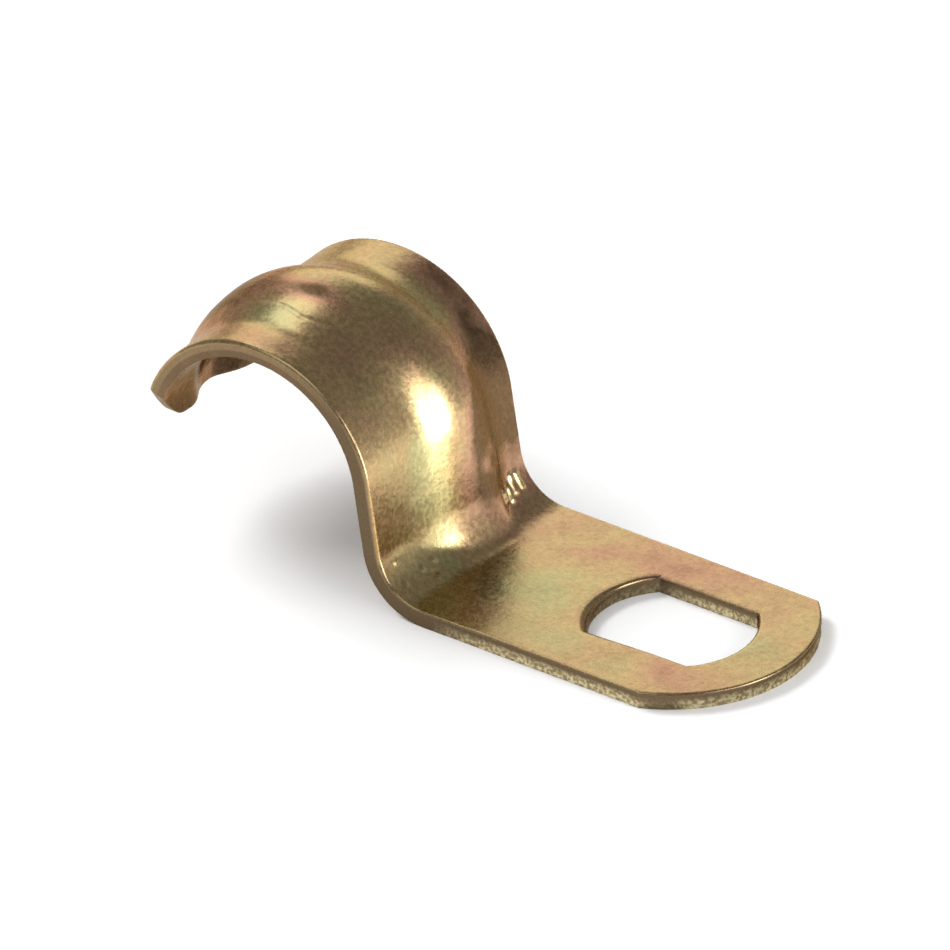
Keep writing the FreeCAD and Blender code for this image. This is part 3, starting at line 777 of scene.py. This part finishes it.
def zinc_material(finish):
    """Yellow passivated zinc.

    The film's colour runs from brown over pink and gold to green, with a fine grain; some of it is painted
    shade, painted light and painted glint.
    Cut edges are brown where they sheared, partly as painted shade, and flecked where they tore.
    """
    material = bpy.data.materials.new("yellow_zinc_with_painted_shade")
    material.use_nodes = True
    nodes = NodeBuilder(material.node_tree)
    place = nodes.add("ShaderNodeTexCoord").outputs["Object"]
    patches = nodes.noise(place, finish.patch, 3.0, 0.6)
    grain = nodes.noise(place, finish.grain, 2.0, 0.5)
    speckle = nodes.noise(place, finish.speckle, 3.0)

    drift = nodes.spread(patches, *PATCH_RANGE, *DRIFT)
    # The film's tint from the mesh holds painted shade, painted light and painted glints as well
    film_and_shade = nodes.maths("ADD", nodes.attribute("film_and_shade"), drift)
    film_share = nodes.spread(film_and_shade, *FILM_RANGE, 0.0, 1.0)
    ramp = nodes.add("ShaderNodeValToRGB", {"Fac": film_share})
    ramp.color_ramp.elements[0].color = opaque(finish.brown)
    ramp.color_ramp.elements[1].color = opaque(finish.green)
    ramp.color_ramp.elements.new(1 / 3).color = opaque(finish.pink)
    ramp.color_ramp.elements.new(2 / 3).color = opaque(finish.gold)
    mottle = nodes.spread(grain, *GRAIN_RANGE, *MOTTLE)
    face = nodes.mix(1.0, ramp.outputs["Color"], mottle, "MULTIPLY")

    torn = nodes.attribute("torn")
    fleck = nodes.maths("MULTIPLY", nodes.spread(speckle, *FLECK_RANGE, 0.0, 1.0), torn)
    edge = nodes.mix(fleck, nodes.mix(torn, opaque(finish.cut), opaque(finish.tear)), opaque(finish.fleck))
    base = nodes.mix(nodes.attribute("cut"), face, edge)

    rough = nodes.spread(grain, *PATCH_RANGE, finish.smooth, finish.dull)
    fine = nodes.add("ShaderNodeBump", {
        "Height": grain, "Strength": GRAIN_STRENGTH, "Distance": finish.grain_depth})
    shader = nodes.add("ShaderNodeBsdfPrincipled", {
        "Base Color": base, "Metallic": 1.0, "Roughness": rough, "Normal": fine.outputs["Normal"],
        "Specular Tint": opaque(finish.graze)})
    nodes.add("ShaderNodeOutputMaterial", {"Surface": shader.outputs["BSDF"]})
    return material


def floor_material(settings):
    """Pale matt floor that keeps the shadow and turns white towards the camera and in the metal."""
    material = bpy.data.materials.new("pale_floor")
    material.use_nodes = True
    nodes = NodeBuilder(material.node_tree)
    matt = nodes.add("ShaderNodeBsdfDiffuse", {"Color": opaque(settings.floor)})
    rays = nodes.add("ShaderNodeLightPath")
    seen = nodes.maths("MAXIMUM", rays.outputs["Is Camera Ray"], rays.outputs["Is Glossy Ray"])
    seen = nodes.maths("MAXIMUM", seen, rays.outputs["Is Transmission Ray"])
    glow = nodes.add("ShaderNodeEmission", {"Strength": nodes.maths("MULTIPLY", seen, settings.floor_glow)})
    both = nodes.add("ShaderNodeAddShader", {0: matt.outputs[0], 1: glow.outputs[0]})
    nodes.add("ShaderNodeOutputMaterial", {"Surface": both.outputs[0]})
    return material


def studio_world():
    """Soft grey surroundings, pale at the horizon and darker overhead."""
    world = bpy.data.worlds.new("studio")
    world.use_nodes = True
    nodes = NodeBuilder(world.node_tree)
    place = nodes.add("ShaderNodeTexCoord").outputs["Generated"]
    height = nodes.add("ShaderNodeSeparateXYZ", {"Vector": place}).outputs["Z"]
    ramp = nodes.add("ShaderNodeValToRGB", {"Fac": nodes.spread(height, SKY_START, 1.0, 0.0, 1.0)})
    (_, low_grey), *between, (_, top_grey) = SKY
    ramp.color_ramp.elements[0].color = grey(low_grey)
    ramp.color_ramp.elements[1].color = grey(top_grey)
    for stop, stop_grey in between:
        ramp.color_ramp.elements.new(stop).color = grey(stop_grey)
    background = nodes.add("ShaderNodeBackground", {"Color": ramp.outputs["Color"], "Strength": 1.0})
    nodes.add("ShaderNodeOutputWorld", {"Surface": background.outputs[0]})
    bpy.context.scene.world = world


def direction(azimuth, elevation):
    """Unit vector towards an azimuth, counted from straight in front, and an elevation."""
    level = math.cos(elevation)
    return Vector((math.sin(azimuth) * level, -math.cos(azimuth) * level, math.sin(elevation)))


def softbox(name, azimuth, elevation, distance, width, height, brightness, mirrored):
    """A soft rectangular lamp that faces the clamp; brightness is what a mirror would show of it."""
    lamp = bpy.data.lights.new(name, "AREA")
    lamp.shape = "RECTANGLE"
    lamp.size, lamp.size_y = width, height
    lamp.energy = brightness * math.pi * width * height
    light = bpy.data.objects.new(name, lamp)
    towards = direction(math.radians(azimuth), math.radians(elevation))
    centre = Vector((SADDLE_AXIS.x / 2, 0, SADDLE_AXIS.z))
    facing = towards.to_track_quat("Z", "Y").to_matrix().to_4x4()
    light.matrix_world = Matrix.Translation(centre + towards * distance) @ facing
    light.visible_camera = False
    light.visible_glossy = mirrored
    bpy.context.scene.collection.objects.link(light)


def studio_camera(settings):
    """A long lens far off, aimed beside and above the floor below the saddle axis."""
    back = direction(settings.azimuth, settings.elevation)
    right = Vector((math.cos(settings.azimuth), math.sin(settings.azimuth), 0))
    up = back.cross(right)
    aim = Vector((SADDLE_AXIS.x, SADDLE_AXIS.y, 0)) + right * settings.aim_right + up * settings.aim_up
    data = bpy.data.cameras.new("camera")
    data.lens, data.sensor_width = settings.lens, SENSOR_WIDTH
    data.clip_start, data.clip_end = settings.distance / 20, settings.distance * 4
    camera = bpy.data.objects.new("camera", data)
    turned = Matrix((right, up, back)).transposed().to_4x4()
    camera.matrix_world = Matrix.Translation(aim + back * settings.distance) @ turned
    bpy.context.scene.collection.objects.link(camera)
    bpy.context.scene.camera = camera


class CLAMP_OT_press_strap(bpy.types.Operator):
    """Build the strap's skin with its zinc finish, in place of the plain solid"""

    bl_idname = "clamp.press_strap"
    bl_label = "Press Strap"

    def execute(self, context):
        scene = context.scene
        points, faces, shares = strap_skin(scene.clamp_sizes)
        strap = skin_object("pressed_strap", points, faces, shares, zinc_material(scene.clamp_finish))
        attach(strap, BODY)
        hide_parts(NODE)
        return {"FINISHED"}


class CLAMP_OT_set_stage(bpy.types.Operator):
    """Set up the floor, the soft lamps, the surroundings and the camera"""

    bl_idname = "clamp.set_stage"
    bl_label = "Set Stage"

    def execute(self, context):
        settings = context.scene.clamp_studio
        reach = FLOOR_REACH
        corners = [(-reach, -reach, 0), (reach, -reach, 0), (reach, reach, 0), (-reach, reach, 0)]
        mesh = bpy.data.meshes.new("floor")
        mesh.from_pydata(corners, [], [(0, 1, 2, 3)])
        mesh.materials.append(floor_material(settings))
        floor = bpy.data.objects.new("floor", mesh)
        context.scene.collection.objects.link(floor)
        studio_world()
        for lamp in LAMPS:
            softbox(*lamp)
        studio_camera(settings)
        context.scene.view_settings.view_transform = "Standard"
        return {"FINISHED"}


class VIEW3D_PT_cable_clamp(bpy.types.Panel):
    """The clamp's sizes, finish and studio"""

    bl_label = "Cable Clamp"
    bl_space_type = "VIEW_3D"
    bl_region_type = "UI"
    bl_category = "Clamp"

    def draw(self, context):
        layout = self.layout
        for group in (context.scene.clamp_sizes, context.scene.clamp_finish, context.scene.clamp_studio):
            box = layout.box()
            for name in group.__annotations__:
                box.prop(group, name)
        layout.operator(CLAMP_OT_press_strap.bl_idname)
        layout.operator(CLAMP_OT_set_stage.bl_idname)


CLASSES = (
    StrapSizes, ZincFinish, StudioSettings, CLAMP_OT_press_strap, CLAMP_OT_set_stage, VIEW3D_PT_cable_clamp)


def register():
    for item in CLASSES:
        bpy.utils.register_class(item)
    bpy.types.Scene.clamp_sizes = PointerProperty(type=StrapSizes)
    bpy.types.Scene.clamp_finish = PointerProperty(type=ZincFinish)
    bpy.types.Scene.clamp_studio = PointerProperty(type=StudioSettings)


def unregister():
    del bpy.types.Scene.clamp_studio
    del bpy.types.Scene.clamp_finish
    del bpy.types.Scene.clamp_sizes
    for item in reversed(CLASSES):
        bpy.utils.unregister_class(item)


def main():
    """Builds the clamp and its stage."""
    register()
    bpy.ops.clamp.press_strap()
    bpy.ops.clamp.set_stage()


if __name__ == "__main__":
    main()
